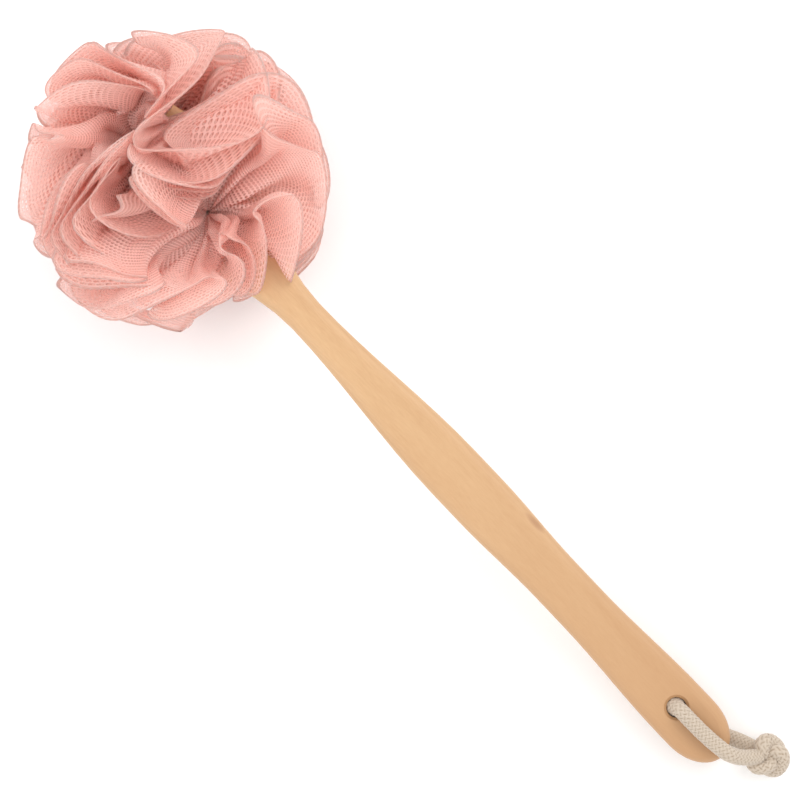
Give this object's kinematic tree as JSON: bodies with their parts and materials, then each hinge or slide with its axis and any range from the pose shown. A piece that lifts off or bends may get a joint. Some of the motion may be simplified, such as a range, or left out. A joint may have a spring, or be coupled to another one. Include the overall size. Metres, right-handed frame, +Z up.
{
  "type": "bath pouf on a long handle",
  "caption": "Ball of gathered knitted bath mesh tied to the head of a long flat wooden handle, with a knotted cotton rope loop through the tail to hang it by.",
  "frame": {"origin": "on the surface it lies on, under the middle of the box round the pouf and the handle together", "axes": "+X from the pouf to the tail of the handle, +Z up; it lies face up, with the handle sloping down from the pouf to its tail"},
  "size_m": [0.4414, 0.14, 0.126],
  "materials": {
    "wood": "satin",
    "mesh": "matte",
    "tie": "matte",
    "cotton_rope": "matte"
  },
  "bodies": {
    "pouf_and_handle": {"handle": "wood", "mesh_front_outer": "mesh", "mesh_front_inner": "mesh", "mesh_back_outer": "mesh", "mesh_back_inner": "mesh", "tie_cord": "tie", "tie_knot": "tie"},
    "hang_loop": {"hang_rope": "cotton_rope", "hang_knot": "cotton_rope"}
  },
  "joints": [
    {"name": "loop_swing", "type": "hinge", "parent": "pouf_and_handle", "child": "hang_loop", "pos_m": [0.17921, 0, 0.01729], "axis": [0.133, 0, 0.9911], "range_deg": [-135, 100]}
  ]
}
